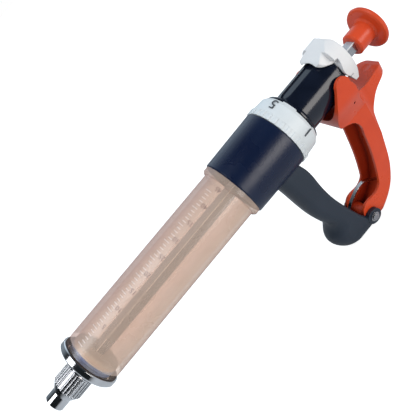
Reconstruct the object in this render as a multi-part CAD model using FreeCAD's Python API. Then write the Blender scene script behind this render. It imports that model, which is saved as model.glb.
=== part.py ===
import FreeCAD, Part
import math
import os

# Pistol-grip repeater syringe, in millimetres. The barrel lies along +X, from the needle seat at the
# origin to the plunger knob, with the grip hanging towards -Z and the two sides alike about Y = 0.

# Dosing: one ratchet tooth gives one millilitre, and the dose ring sets one to five of them
BARREL_BORE_R = 12.5
BARREL_WALL = 2.5
DOSE_STEPS = 5
CAPACITY_ML = 50
TOOTH_PITCH = 1000.0 / (math.pi * BARREL_BORE_R ** 2)
FULL_STROKE = DOSE_STEPS * TOOTH_PITCH
PLUNGER_TRAVEL = CAPACITY_ML * TOOTH_PITCH

# Clearances
SLIDE_GAP = 0.1
SEAT_GAP = 0.05
FACE_GAP = 0.25
PIN_GAP = 0.06

# Needle hub: a lock collar round a nozzle, a cone and a knurled band, all turned from one bar
HUB_R = 5.05
HUB_LENGTH = 5.6
LOCK_BORE_R = 4.0
LOCK_DEPTH = 5.2
NOZZLE_R = 2.0
FLOW_BORE_R = 1.0
CONE_LENGTH = 4.0
KNURL_R = 7.75
KNURL_LENGTH = 9.8
KNURL_RIBS = 28
KNURL_GROOVE_R = 0.45
NECK_R = 6.9
NECK_LENGTH = 4.0
HUB_SPIGOT_R = 4.5

# Front cap and its gasket
CAP_WALL = 0.9
CAP_LENGTH = 3.6
CAP_FACE = 1.6
CAP_EDGE = 0.8
GASKET_THICKNESS = 0.6
GASKET_INNER_R = 12.7

# Barrel behind the cap: the plain tube, the collar that meets the sleeve, and the end in the sleeve
BARREL_SHOWN = 104.2
BARREL_COLLAR_LENGTH = 3.4
BARREL_COLLAR_HEIGHT = 1.9
BARREL_COLLAR_EDGE = 1.0
BARREL_SEATED = 13.8

# Sleeve housing
SLEEVE_LENGTH = 33.0
SLEEVE_WALL = 2.4
SLEEVE_FLARE = 0.5
SLEEVE_EDGE = 0.6
BULKHEAD = 4.5
NECK_WALL = 2.1
NECK_TUBE_LENGTH = 12.8
KEY_HALF_WIDTH = 1.5
KEY_LENGTH = 3.0
KEY_SHORT = 0.15
KEY_SETBACK = 1.0
KEY_SEAT = 0.8

# Guide bush and brake ring for the square rod
BUSH_R = 6.0
BUSH_LENGTH = 2.6
BUSH_FLANGE_R = 7.5
BUSH_FLANGE = 1.4
BRAKE_R = 5.9

# Dose ring
RING_BAND_LENGTH = 3.3
RING_WALL = 3.35
RING_RIB_HEIGHT = 0.35
RING_RIBS = 30
RING_RIB_ARC = 5.0
RING_BODY_STEP = 0.15
RING_SHOULDER_STEP = 0.75
RING_BACK_STEP = 2.35
RING_BODY_LENGTH = 6.9
RING_BACK_LENGTH = 2.3
STEP_HEIGHT = 1.5
STEP_ARC = 44.0
DETENT_R = 1.0
DETENT_INSET = 1.3
DETENT_TURN = 36.0
DETENT_DEPTH = 5.0
DETENT_DIMPLE = 0.3
BEZEL_LENGTH = 2.4
BEZEL_LIP = 0.8
BEZEL_BACK_WALL = 0.9

# Carriage: the black tube that the lever pushes forward, its end plug, key and trunnion pins
TUBE_R = 12.4
TUBE_WALL = 2.0
TUBE_IN_SLEEVE = 18.4
TUBE_SHOWN = 26.2
TUBE_GROOVE_HALF = 2.9
TUBE_GROOVE_DEPTH = 1.05
TUBE_GROOVE_LENGTH = 22.5
PLUG_FLANGE = 2.0
PLUG_DEPTH = 2.2
PLUG_EDGE = 0.7
TRUNNION_R = 1.6
TRUNNION_BACK = 6.2
TRUNNION_REACH = 2.1
LUG_LENGTH = 4.5
LUG_INNER = 4.4
LUG_WIDTH = 2.2
LUG_HEIGHT = 4.8
CATCH_PIN_BACK = 2.8
CATCH_PIN_Z = 8.2
CATCH_PIN_R = 1.0
CATCH_PIN_SPAN = 0.84
PAWL_PIN_R = 1.0
PAWL_PIN_BACK = 7.7
PAWL_PIN_DEPTH = 3.4

# Plunger: square rod with a rack underneath, piston and knob
ROD_HALF = 2.8
ROD_CHAMFER = 0.5
TOOTH_DEPTH = 0.8
RACK_SPARE = 5.0
PISTON_GAP = 0.6
PISTON_PLATE = 1.3
PISTON_PLATE_R = 12.1
SEAL_LENGTH = 3.5
SEAL_GROOVE = 0.8
PISTON_SCREW_R = 1.5
PISTON_SCREW_HEAD_R = 3.0
KNOB_STEM_R = 6.3
KNOB_STEM_LENGTH = 11.4
KNOB_DISC_R = 12.3
KNOB_DISC = 2.8
KNOB_BEHIND_TUBE = 18.8
KNOB_PIN_R = 0.8
KNOB_WALL = 3.6

# Lever and its pivot in the grip's foot
PIVOT_BEHIND_SLEEVE = 15.4
PIVOT_DROP = 89.0
PIVOT_R = 2.0
LEVER_FOOT_HALF = 7.6
LEVER_TOP_HALF = 8.5
FORK_GAP = 1.2
FORK_WALL = 1.8
FORK_LIFT = 2.9
LEVER_WALL = 1.5
CHANNEL_WEB = 3.0
CHANNEL_TOP = 61.6
HORN_HALF = 7.6
HORN_REACH = 54.9
FOOT_BOSS_R = 5.4
HUB_BOSS_R = 4.2
EYE_BEHIND_PIVOT = 24.5
EYE_ABOVE_PIVOT = 74.5
EYE_R = 0.7
EYE_REACH = 4.4

# Grip
GRIP_FOOT_HALF = 10.3
CHEEK_GAP = 0.3
CHEEK_BOSS_R = 5.2
PIN_HEAD_R = 2.3
PIN_HEAD = 0.9
WASHER_R = 3.1
WASHER = 0.5
NUT_R = 3.0
LEAF_FOOT_HALF = 3.5
LEAF_HALF = 1.1
LEAF_THICKNESS = 0.8
LEAF_SCREW_R = 1.2
GRIP_SCREW_R = 2.0
GRIP_SCREW_HEAD_R = 3.2
GRIP_SCREW_HEAD = 1.6
GRIP_SCREW_LENGTH = 12.0

# Release catch
CATCH_WALL = 1.2
CATCH_REAR = 6.8
CATCH_BACK_WALL = 1.4
CATCH_TOP = 17.9
LOBE_FOOT_Z = 8.0
CATCH_SWING = 6.0
CATCH_GAP = 0.4
PAWL_HALF = 2.0
PAWL_EAR_AHEAD = 4.6
PAWL_EAR_Z = -5.55
PAWL_EAR_R = 0.7
FINGER_INNER = 3.4
FINGER_OUTER = 4.6
FINGER_TOP = -1.9
FINGER_BOTTOM = -3.4
FINGER_DROP = 1.1
FINGER_REACH = 14.2

# Stations along the barrel
KNURL_START = HUB_LENGTH + CONE_LENGTH
NECK_START = KNURL_START + KNURL_LENGTH
CAP_START = NECK_START + NECK_LENGTH
CAP_END = CAP_START + CAP_LENGTH
GASKET_START = CAP_START + CAP_FACE
BARREL_START = GASKET_START + GASKET_THICKNESS
COLLAR_START = CAP_END + BARREL_SHOWN
SLEEVE_START = COLLAR_START + BARREL_COLLAR_LENGTH
BARREL_END = SLEEVE_START + BARREL_SEATED
BULKHEAD_START = BARREL_END + SEAT_GAP
BULKHEAD_END = BULKHEAD_START + BULKHEAD
SLEEVE_END = SLEEVE_START + SLEEVE_LENGTH
NECK_TUBE_END = SLEEVE_END + NECK_TUBE_LENGTH
RING_START = SLEEVE_END + FACE_GAP
RING_END = RING_START + RING_BAND_LENGTH + RING_BODY_LENGTH + RING_BACK_LENGTH
BEZEL_END = NECK_TUBE_END + BEZEL_LENGTH
TUBE_START = BEZEL_END - TUBE_IN_SLEEVE
TUBE_END = BEZEL_END + TUBE_SHOWN
PLUG_END = TUBE_END + PLUG_FLANGE
KNOB_START = PLUG_END + KNOB_BEHIND_TUBE
KNOB_END = KNOB_START + KNOB_STEM_LENGTH + KNOB_DISC
BARREL_R = BARREL_BORE_R + BARREL_WALL
CAP_R = BARREL_R + SLIDE_GAP + CAP_WALL
BARREL_COLLAR_R = BARREL_R + BARREL_COLLAR_HEIGHT
SLEEVE_FRONT_R = BARREL_R + SLIDE_GAP + SLEEVE_WALL
SLEEVE_REAR_R = SLEEVE_FRONT_R + SLEEVE_FLARE
TUBE_BORE_R = TUBE_R - TUBE_WALL
CARRIAGE_BORE_R = TUBE_R + SLIDE_GAP
NECK_TUBE_R = CARRIAGE_BORE_R + NECK_WALL
RING_BORE_R = NECK_TUBE_R + SLIDE_GAP
RING_BAND_R = RING_BORE_R + RING_WALL
STEP_OUTER_R = RING_BORE_R + STEP_HEIGHT
DETENT_CIRCLE_R = RING_BORE_R + DETENT_INSET
KEY_TOP = NECK_TUBE_R - KEY_SHORT
PAWL_PIN_Z = -(TUBE_BORE_R - PAWL_PIN_DEPTH)
CATCH_R = TUBE_R + CATCH_WALL
KEY_END = NECK_TUBE_END - KEY_SETBACK
KEY_START = KEY_END - KEY_LENGTH
TRUNNION_X = PLUG_END - TRUNNION_BACK
CATCH_PIN_X = PLUG_END + CATCH_PIN_BACK
PAWL_PIN_X = PLUG_END - PAWL_PIN_BACK
PIVOT_X = SLEEVE_END + PIVOT_BEHIND_SLEEVE
PIVOT_Z = -PIVOT_DROP
FORK_INNER = TUBE_R + FORK_GAP
FORK_OUTER = FORK_INNER + FORK_WALL


def vec(x, y, z):
    return FreeCAD.Vector(x, y, z)


def rod_x(x0, x1, radius, y=0.0, z=0.0):
    return Part.makeCylinder(radius, x1 - x0, vec(x0, y, z), vec(1, 0, 0))


def tube_x(x0, x1, outer, inner):
    return rod_x(x0, x1, outer).cut(rod_x(x0, x1, inner))


def rod_y(x, z, radius, y0, y1):
    return Part.makeCylinder(radius, y1 - y0, vec(x, y0, z), vec(0, 1, 0))


def block(x0, x1, y0, y1, z0, z1):
    return Part.makeBox(x1 - x0, y1 - y0, z1 - z0, vec(x0, y0, z0))


def turned(points):
    # A solid of revolution about the barrel axis from a closed outline of (x, radius) points
    corners = [vec(x, 0, r) for x, r in points]
    outline = Part.makePolygon(corners + corners[:1])
    return Part.Face(outline).revolve(vec(0, 0, 0), vec(1, 0, 0), 360)


def line(*end):
    return ("line", [end])


def arc(middle, end):
    return ("arc", [middle, end])


def curve(*points):
    return ("curve", list(points))


def side_view(a, b):
    return vec(a, 0, b)


def front_view(a, b):
    return vec(0, a, b)


def plan_view(a, b):
    return vec(a, b, 0)


def sheet(plane, start, steps):
    # A flat face in one of the three planes, walked round from its start
    here = plane(*start)
    edges = []
    for kind, points in steps:
        stops = [plane(*p) for p in points]
        if kind == "line":
            edges.append(Part.makeLine(here, stops[0]))
        elif kind == "arc":
            edges.append(Part.Arc(here, stops[0], stops[1]).toShape())
        else:
            spline = Part.BSplineCurve()
            spline.interpolate([here] + stops)
            edges.append(spline.toShape())
        here = stops[-1]
    return Part.Face(Part.Wire(edges))


def prism(face, low, high):
    # The face pushed along its own normal direction, from low to high
    box = face.BoundBox
    if box.YLength < 1e-6:
        way = vec(0, 1, 0)
    elif box.XLength < 1e-6:
        way = vec(1, 0, 0)
    else:
        way = vec(0, 0, 1)
    moved = face.copy()
    moved.translate(way * low)
    return moved.extrude(way * (high - low))


def luer_hub():
    body = turned([
        (0, LOCK_BORE_R), (0, HUB_R), (HUB_LENGTH, HUB_R), (KNURL_START, KNURL_R),
        (NECK_START, KNURL_R), (NECK_START, NECK_R), (CAP_START, NECK_R), (CAP_START, HUB_SPIGOT_R),
        (GASKET_START, HUB_SPIGOT_R), (GASKET_START, FLOW_BORE_R), (0, FLOW_BORE_R),
        (0, NOZZLE_R), (LOCK_DEPTH, NOZZLE_R), (LOCK_DEPTH, LOCK_BORE_R),
    ])
    grooves = []
    for i in range(KNURL_RIBS):
        turn = 2 * math.pi * i / KNURL_RIBS
        grooves.append(rod_x(KNURL_START - 1, NECK_START + 1, KNURL_GROOVE_R,
                             KNURL_R * math.cos(turn), KNURL_R * math.sin(turn)))
    return body.cut(grooves)


def front_cap():
    skirt = BARREL_R + SLIDE_GAP
    return turned([
        (CAP_START, HUB_SPIGOT_R + SEAT_GAP), (CAP_START, CAP_R - CAP_EDGE),
        (CAP_START + CAP_EDGE, CAP_R), (CAP_END - CAP_EDGE / 2, CAP_R), (CAP_END, CAP_R - CAP_EDGE / 2),
        (CAP_END, skirt), (GASKET_START, skirt), (GASKET_START, HUB_SPIGOT_R + SEAT_GAP),
    ])


def cap_gasket():
    return tube_x(GASKET_START, BARREL_START, BARREL_R - SEAT_GAP, GASKET_INNER_R)


def barrel():
    return turned([
        (BARREL_START, BARREL_BORE_R), (BARREL_START, BARREL_R), (COLLAR_START, BARREL_R),
        (COLLAR_START, BARREL_COLLAR_R - BARREL_COLLAR_EDGE),
        (COLLAR_START + BARREL_COLLAR_EDGE, BARREL_COLLAR_R), (SLEEVE_START, BARREL_COLLAR_R),
        (SLEEVE_START, BARREL_R), (BARREL_END, BARREL_R), (BARREL_END, BARREL_BORE_R),
    ])


def sleeve_housing():
    bore = BARREL_R + SLIDE_GAP
    body = turned([
        (SLEEVE_START, bore), (SLEEVE_START, SLEEVE_FRONT_R - SLEEVE_EDGE),
        (SLEEVE_START + SLEEVE_EDGE, SLEEVE_FRONT_R), (SLEEVE_END - SLEEVE_EDGE / 2, SLEEVE_REAR_R),
        (SLEEVE_END, SLEEVE_REAR_R - SLEEVE_EDGE / 2), (SLEEVE_END, NECK_TUBE_R),
        (NECK_TUBE_END, NECK_TUBE_R), (NECK_TUBE_END, CARRIAGE_BORE_R),
        (BULKHEAD_END, CARRIAGE_BORE_R), (BULKHEAD_END, BUSH_R + SEAT_GAP),
        (BULKHEAD_START, BUSH_R + SEAT_GAP), (BULKHEAD_START, bore),
    ])
    keyway_start = KEY_START - FULL_STROKE - FACE_GAP
    half = KEY_HALF_WIDTH + SLIDE_GAP
    keyway = block(keyway_start, NECK_TUBE_END + 1, -half, half, TUBE_BORE_R, NECK_TUBE_R + SLIDE_GAP)
    detent_hole = at_detent(rod_x(SLEEVE_END - DETENT_DEPTH, SLEEVE_END + 1, DETENT_R + SLIDE_GAP))
    screw_x = grip_screw_x()
    head_top = -CARRIAGE_BORE_R
    screw_hole = Part.makeCylinder(GRIP_SCREW_R + SEAT_GAP, SLEEVE_REAR_R, vec(screw_x, 0, -SLEEVE_REAR_R - 1))
    head_hole = Part.makeCylinder(GRIP_SCREW_HEAD_R + SEAT_GAP, TUBE_R,
                                  vec(screw_x, 0, head_top - GRIP_SCREW_HEAD - SLIDE_GAP))
    return body.cut([keyway, detent_hole, screw_hole, head_hole])


def grip_screw_x():
    return SLEEVE_END - 7.0


def rod_window(x0, x1, gap):
    half = ROD_HALF + gap
    return block(x0, x1, -half, half, -half, half)


def guide_bush():
    body = turned([
        (BULKHEAD_END - BUSH_LENGTH, 0), (BULKHEAD_END - BUSH_LENGTH, BUSH_R), (BULKHEAD_END, BUSH_R),
        (BULKHEAD_END, BUSH_FLANGE_R), (BULKHEAD_END + BUSH_FLANGE, BUSH_FLANGE_R),
        (BULKHEAD_END + BUSH_FLANGE, 0),
    ])
    return body.cut(rod_window(BULKHEAD_START, BULKHEAD_END + BUSH_FLANGE + 1, SLIDE_GAP))


def brake_ring():
    front = BULKHEAD_START + SEAT_GAP
    back = BULKHEAD_END - BUSH_LENGTH - SEAT_GAP
    return rod_x(front, back, BRAKE_R).cut(rod_window(front - 1, back + 1, SEAT_GAP))


def at_detent(shape, turn=DETENT_TURN):
    # A shape made on the barrel axis, carried out to the detent and turned about the barrel from the top
    moved = shape.copy()
    moved.translate(vec(0, 0, DETENT_CIRCLE_R))
    moved.rotate(vec(0, 0, 0), vec(1, 0, 0), turn)
    return moved


def detent_ball():
    return at_detent(Part.makeSphere(DETENT_R, vec(RING_START - SEAT_GAP - DETENT_R, 0, 0)))


def detent_spring():
    ball_back = RING_START - SEAT_GAP - 2 * DETENT_R
    return at_detent(tube_x(SLEEVE_END - DETENT_DEPTH, ball_back, DETENT_R, DETENT_R / 2))


def dose_ring():
    bore = RING_BORE_R
    band_end = RING_START + RING_BAND_LENGTH
    shoulder = band_end + RING_BODY_LENGTH
    body = turned([
        (RING_START, bore), (RING_START, RING_BAND_R), (band_end, RING_BAND_R),
        (band_end, RING_BAND_R - RING_BODY_STEP), (shoulder, RING_BAND_R - RING_SHOULDER_STEP),
        (RING_END, RING_BAND_R - RING_BACK_STEP), (RING_END, bore),
    ])
    rib_half = math.radians(RING_RIB_ARC / 2) * RING_BAND_R
    for i in range(RING_RIBS):
        rib = block(RING_START, band_end, -rib_half, rib_half, RING_BAND_R - RING_RIB_HEIGHT,
                    RING_BAND_R + RING_RIB_HEIGHT)
        rib.rotate(vec(0, 0, 0), vec(1, 0, 0), 360.0 * i / RING_RIBS)
        body = body.fuse(rib)
    # The stop stairs: each fifth of the ring lets the key travel one tooth further than the last
    sector = 360.0 / DOSE_STEPS
    edge = math.radians(90 - STEP_ARC / 2)
    for dose in range(1, DOSE_STEPS + 1):
        stop = KEY_START - dose * TOOTH_PITCH
        wedge = Part.makePolygon([
            vec(stop, 0, 0), vec(stop, 30 * math.cos(edge), 30 * math.sin(edge)),
            vec(stop, -30 * math.cos(edge), 30 * math.sin(edge)), vec(stop, 0, 0),
        ])
        pocket = Part.Face(wedge).extrude(vec(RING_END - stop + 1, 0, 0))
        pocket = pocket.common(rod_x(stop, RING_END + 1, STEP_OUTER_R))
        pocket.rotate(vec(0, 0, 0), vec(1, 0, 0), sector * (dose - DOSE_STEPS))
        body = body.cut(pocket)
    for i in range(DOSE_STEPS):
        dimple = Part.makeSphere(DETENT_R, vec(RING_START - DETENT_R + DETENT_DIMPLE, 0, 0))
        body = body.cut(at_detent(dimple, DETENT_TURN + sector * i))
    return body.removeSplitter()


def ring_bezel():
    return turned([
        (NECK_TUBE_END, CARRIAGE_BORE_R), (NECK_TUBE_END, NECK_TUBE_R + BEZEL_LIP),
        (NECK_TUBE_END + BEZEL_LENGTH / 3, NECK_TUBE_R + BEZEL_LIP),
        (BEZEL_END, CARRIAGE_BORE_R + BEZEL_BACK_WALL), (BEZEL_END, CARRIAGE_BORE_R),
    ])


def carriage_tube():
    body = tube_x(TUBE_START, TUBE_END, TUBE_R, TUBE_BORE_R)
    groove_z = TUBE_R - TUBE_GROOVE_DEPTH
    groove_x = TUBE_END - TUBE_GROOVE_LENGTH
    half = TUBE_GROOVE_HALF
    groove = prism(sheet(plan_view, (TUBE_END + 1, -half), [
        line(TUBE_END + 1, half), line(groove_x, half),
        curve((groove_x - 2.2, half * 0.75), (groove_x - 4.4, 0)),
        curve((groove_x - 2.2, -half * 0.75), (groove_x, -half)), line(TUBE_END + 1, -half),
    ]), groove_z, TUBE_R + 1)
    half_key = KEY_HALF_WIDTH + SEAT_GAP
    key_seat = block(KEY_START - SEAT_GAP, KEY_END + SEAT_GAP, -half_key, half_key, TUBE_BORE_R + KEY_SEAT,
                     TUBE_R + 1)
    trunnion_hole = rod_y(TRUNNION_X, 0, TRUNNION_R, -TUBE_R - 1, TUBE_R + 1)
    pawl_hole = rod_y(PAWL_PIN_X, PAWL_PIN_Z, PAWL_PIN_R, -TUBE_R - 1, TUBE_R + 1)
    return body.cut([groove, key_seat, trunnion_hole, pawl_hole])


def carriage_key():
    return block(KEY_START, KEY_END, -KEY_HALF_WIDTH, KEY_HALF_WIDTH, TUBE_BORE_R + KEY_SEAT, KEY_TOP)


def trunnion_pins():
    reach = TUBE_R + TRUNNION_REACH
    near = rod_y(TRUNNION_X, 0, TRUNNION_R, -reach, -TUBE_BORE_R)
    far = rod_y(TRUNNION_X, 0, TRUNNION_R, TUBE_BORE_R, reach)
    return Part.makeCompound([near, far])


def end_plug():
    plug_r = TUBE_BORE_R - SEAT_GAP
    body = turned([
        (TUBE_END - PLUG_DEPTH, 0), (TUBE_END - PLUG_DEPTH, plug_r), (TUBE_END, plug_r), (TUBE_END, TUBE_R),
        (PLUG_END - PLUG_EDGE, TUBE_R), (PLUG_END, TUBE_R - PLUG_EDGE), (PLUG_END, 0),
    ])
    for side in (-1, 1):
        inner = side * LUG_INNER
        outer = side * (LUG_INNER + LUG_WIDTH)
        lug = block(PLUG_END - 0.5, PLUG_END + LUG_LENGTH, min(inner, outer), max(inner, outer),
                    CATCH_PIN_Z - LUG_HEIGHT / 2, CATCH_PIN_Z + LUG_HEIGHT / 2)
        body = body.fuse(lug)
    window = rod_window(TUBE_END - PLUG_DEPTH - 1, PLUG_END + LUG_LENGTH + 1, SLIDE_GAP + PIN_GAP)
    side = FINGER_OUTER + FACE_GAP
    finger_slot = block(TUBE_END - PLUG_DEPTH - 1, PLUG_END + 1, -side, side,
                        FINGER_BOTTOM - FINGER_DROP, FINGER_TOP + FACE_GAP)
    groove = block(TUBE_END - 1, PLUG_END + 1, -TUBE_GROOVE_HALF, TUBE_GROOVE_HALF,
                   TUBE_R - TUBE_GROOVE_DEPTH, TUBE_R + 1)
    pin_hole = rod_y(CATCH_PIN_X, CATCH_PIN_Z, CATCH_PIN_R, -TUBE_R, TUBE_R)
    return body.cut([window, finger_slot, groove, pin_hole])


def catch_pin():
    # The pin ends just inside the catch's shoulders
    half = CATCH_R * CATCH_PIN_SPAN
    return rod_y(CATCH_PIN_X, CATCH_PIN_Z, CATCH_PIN_R, -half, half)


def pawl_pin():
    half = math.sqrt(TUBE_R ** 2 - (abs(PAWL_PIN_Z) + PAWL_PIN_R) ** 2)
    return rod_y(PAWL_PIN_X, PAWL_PIN_Z, PAWL_PIN_R, -half, half)


def drive_pawl():
    tip_z = -ROD_HALF - SLIDE_GAP
    x = PAWL_PIN_X
    z = PAWL_PIN_Z
    face = sheet(side_view, (x - 9.0, tip_z), [
        line(x - 7.4, tip_z - 0.9), line(x + 1.2, tip_z - 1.6), line(x + 2.0, z), line(x + 2.2, z - 2.6),
        line(x + 0.4, z - 2.6), line(x - 1.8, z - 1.4), line(x - 9.2, z + 1.6), line(x - 9.0, tip_z),
    ])
    # The ears that the catch's fingers press down
    ears = rod_y(x - PAWL_EAR_AHEAD, PAWL_EAR_Z, PAWL_EAR_R, -FINGER_OUTER, FINGER_OUTER)
    body = prism(face, -PAWL_HALF, PAWL_HALF).fuse(ears)
    return body.cut(rod_y(x, z, PAWL_PIN_R + PIN_GAP, -PAWL_HALF - 1, PAWL_HALF + 1))


def pawl_spring():
    floor = -math.sqrt(TUBE_BORE_R ** 2 - 1.5 ** 2) + SEAT_GAP
    x = PAWL_PIN_X
    rise = PAWL_PIN_Z + 1.0
    face = sheet(side_view, (x - 1.0, floor), [
        line(x - 14.0, floor), line(x - 14.0, floor + 0.4), line(x - 12.4, floor + 0.4),
        line(x - 8.2, rise - 0.1), line(x - 7.8, rise - 0.4), line(x - 11.8, floor + 0.4),
        line(x - 1.0, floor + 0.4), line(x - 1.0, floor),
    ])
    return prism(face, -1.5, 1.5)


def plunger_rod():
    start = rod_start()
    end = KNOB_END - KNOB_WALL
    body = block(start, end, -ROD_HALF, ROD_HALF, -ROD_HALF, ROD_HALF)
    corner = ROD_HALF * math.sqrt(2) - ROD_CHAMFER / math.sqrt(2)
    turned_box = block(start, end, -corner, corner, -corner, corner)
    turned_box.rotate(vec(0, 0, 0), vec(1, 0, 0), 45)
    body = body.common(turned_box)
    teeth = []
    count = int((PLUNGER_TRAVEL + FULL_STROKE + RACK_SPARE) / TOOTH_PITCH)
    tip = PAWL_PIN_X - 9.0
    for i in range(count):
        x = tip + (DOSE_STEPS - i) * TOOTH_PITCH
        tooth = sheet(side_view, (x, -ROD_HALF + TOOTH_DEPTH), [
            line(x + TOOTH_PITCH * 0.8, -ROD_HALF), line(x + TOOTH_PITCH * 0.8, -ROD_HALF - 1),
            line(x, -ROD_HALF - 1), line(x, -ROD_HALF + TOOTH_DEPTH),
        ])
        teeth.append(prism(tooth, -ROD_HALF - 1, ROD_HALF + 1))
    screw_hole = rod_x(start - 1, start + 6, PISTON_SCREW_R)
    pin_hole = Part.makeCylinder(KNOB_PIN_R, ROD_HALF * 2 + 2, vec(knob_pin_x(), 0, -ROD_HALF - 1))
    return body.cut(teeth + [screw_hole, pin_hole])


def rod_start():
    return BARREL_START + PISTON_GAP + 2 * PISTON_PLATE + SEAL_LENGTH


def knob_pin_x():
    return KNOB_START + KNOB_STEM_LENGTH / 2


def piston_plate(start):
    body = rod_x(start, start + PISTON_PLATE, PISTON_PLATE_R)
    return body.cut(rod_x(start - 1, start + PISTON_PLATE + 1, PISTON_SCREW_R))


def piston_front():
    start = BARREL_START + PISTON_GAP
    body = piston_plate(start)
    return body.cut(rod_x(start - 1, start + PISTON_PLATE / 2, PISTON_SCREW_HEAD_R + SEAT_GAP))


def piston_seal():
    start = BARREL_START + PISTON_GAP + PISTON_PLATE
    end = start + SEAL_LENGTH
    lip = BARREL_BORE_R - SEAT_GAP
    third = SEAL_LENGTH / 3
    waist = lip - SEAL_GROOVE
    return turned([
        (start, PISTON_SCREW_R), (start, lip - 0.3), (start + 0.3, lip), (start + third, lip),
        (start + third + 0.3, waist), (end - third - 0.3, waist), (end - third, lip), (end - 0.3, lip),
        (end, lip - 0.3), (end, PISTON_SCREW_R),
    ])


def piston_rear():
    return piston_plate(rod_start() - PISTON_PLATE)


def piston_screw():
    start = BARREL_START + PISTON_GAP
    head = rod_x(start, start + PISTON_PLATE / 2, PISTON_SCREW_HEAD_R)
    shank = rod_x(start + PISTON_PLATE / 2, rod_start() + 5.5, PISTON_SCREW_R)
    slot = block(start - 1, start + 0.35, -0.4, 0.4, -PISTON_SCREW_HEAD_R, PISTON_SCREW_HEAD_R)
    return head.fuse(shank).cut(slot)


def knob():
    disc = KNOB_START + KNOB_STEM_LENGTH
    rim = KNOB_DISC / 2
    body = turned([
        (KNOB_START, 0), (KNOB_START, KNOB_STEM_R - 0.9), (KNOB_START + 0.9, KNOB_STEM_R),
        (disc - 0.8, KNOB_STEM_R), (disc, KNOB_STEM_R + 0.8), (disc, KNOB_DISC_R - rim),
        (disc + rim * 0.3, KNOB_DISC_R - rim * 0.3), (disc + rim, KNOB_DISC_R),
        (KNOB_END - rim * 0.3, KNOB_DISC_R - rim * 0.3), (KNOB_END, KNOB_DISC_R - rim), (KNOB_END, 0),
    ])
    pocket = rod_window(KNOB_START - 1, KNOB_END - KNOB_WALL + SEAT_GAP, SEAT_GAP)
    pin_hole = Part.makeCylinder(KNOB_PIN_R, KNOB_STEM_R * 2, vec(knob_pin_x(), 0, -KNOB_STEM_R - 1))
    return body.cut([pocket, pin_hole])


def knob_pin():
    return Part.makeCylinder(KNOB_PIN_R, KNOB_STEM_R * 1.7, vec(knob_pin_x(), 0, -KNOB_STEM_R + 0.3))


def lever_back():
    # The lever's rear edge from the pivot up to the horn, beside the pivot
    x = PIVOT_X
    z = PIVOT_Z
    return [(x + 8.6, z - 4.9), (x + 14.6, z - 1.4), (x + 19.4, z + 2.6), (x + 22.9, z + 6.9),
            (x + 25.5, z + 11.8), (x + 27.5, z + 16.8), (x + 30.1, z + 27.4), (x + 31.4, z + 34.8),
            (x + 32.7, z + 42.2), (x + 33.8, z + 48.5), (x + 35.0, z + 54.4)]


def lever_side():
    x = PIVOT_X
    z = PIVOT_Z
    boss = FOOT_BOSS_R
    return sheet(side_view, (x - boss, z), [
        arc((x - boss * 0.72, z - boss * 0.69), (x, z - boss)),
        line(*lever_back()[0]),
        curve(*lever_back()[1:]),
        curve((x + 38.2, z + 59.4), (x + 41.8, z + 63.0), (x + 46.6, z + 65.6), (x + 51.8, z + 67.2)),
        arc((x + HORN_REACH, z + 69.8), (x + 52.4, z + 72.2)),
        curve((x + 46.4, z + 72.6), (x + 40.0, z + 71.8), (x + 34.4, z + 72.4), (x + 31.0, z + 75.2),
              (x + 29.0, z + 79.6), (x + 28.0, z + 84.0)),
        line(x + 26.5, z + 88.6),
        arc((x + 22.4, z + 93.9), (x + 17.7, z + 90.2)),
        curve((x + 15.4, z + 86.2), (x + 13.1, z + 82.0), (x + 11.5, z + 77.0), (x + 11.4, z + 71.6),
              (x + 12.8, z + 66.4)),
        curve((x + 15.6, z + 64.7), (x + 20.8, z + 61.6), (x + 23.4, z + 56.8), (x + 23.2, z + 51.0)),
        curve((x + 22.3, z + 43.8), (x + 20.6, z + 32.8), (x + 17.4, z + 19.4), (x + 15.6, z + 13.6)),
        curve((x + 12.8, z + 11.0), (x + 8.0, z + 10.0), (x + 3.0, z + 10.8), (x - 0.8, z + 9.8),
              (x - 3.6, z + 6.4), (x - boss, z)),
    ])


def lever_front(inset=0.0):
    # The lever's outline from the front; an inset gives the inside of its walls
    foot = LEVER_FOOT_HALF - inset
    top = LEVER_TOP_HALF - inset
    fork = FORK_OUTER - inset
    z = PIVOT_Z
    half = [(foot, z - 8), (foot, z + 9), (top, z + 40), (top, z + 64.5), (top + 1.9, z + 69.4),
            (top + 4.4, z + 74.6), (fork - 0.7, z + 78.6), (fork, z + 82), (fork, z + 98)]
    near = [(-a, b) for a, b in reversed(half)]
    return sheet(front_view, half[0], [
        line(*half[1]), line(*half[2]), line(*half[3]), curve(*half[4:8]), line(*half[8]),
        line(*near[0]), line(*near[1]), curve(*near[2:6]), line(*near[6]), line(*near[7]), line(*near[8]),
        line(*half[0]),
    ])


def lever_plan():
    x = PIVOT_X
    wide = FORK_OUTER + 1
    horn = HORN_HALF
    tip = x + HORN_REACH
    return sheet(plan_view, (x - 10, -wide), [
        line(x + 28.0, -wide), curve((x + 29.4, -horn - 4.0), (x + 33.0, -horn - 0.6), (x + 37.6, -horn)),
        line(tip - horn, -horn), arc((tip, 0), (tip - horn, horn)), line(x + 37.6, horn),
        curve((x + 33.0, horn + 0.6), (x + 29.4, horn + 4.0), (x + 28.0, wide)),
        line(x - 10, wide), line(x - 10, -wide),
    ])


def lever_swing():
    # The swing that carries the fork through a full dose, with the slot across the trunnion at both ends
    reach = TRUNNION_X - PIVOT_X
    swing = 0.0
    for _ in range(20):
        swing = math.atan((FULL_STROKE + reach * (1 / math.cos(swing) - 1)) / PIVOT_DROP)
    return swing


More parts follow.
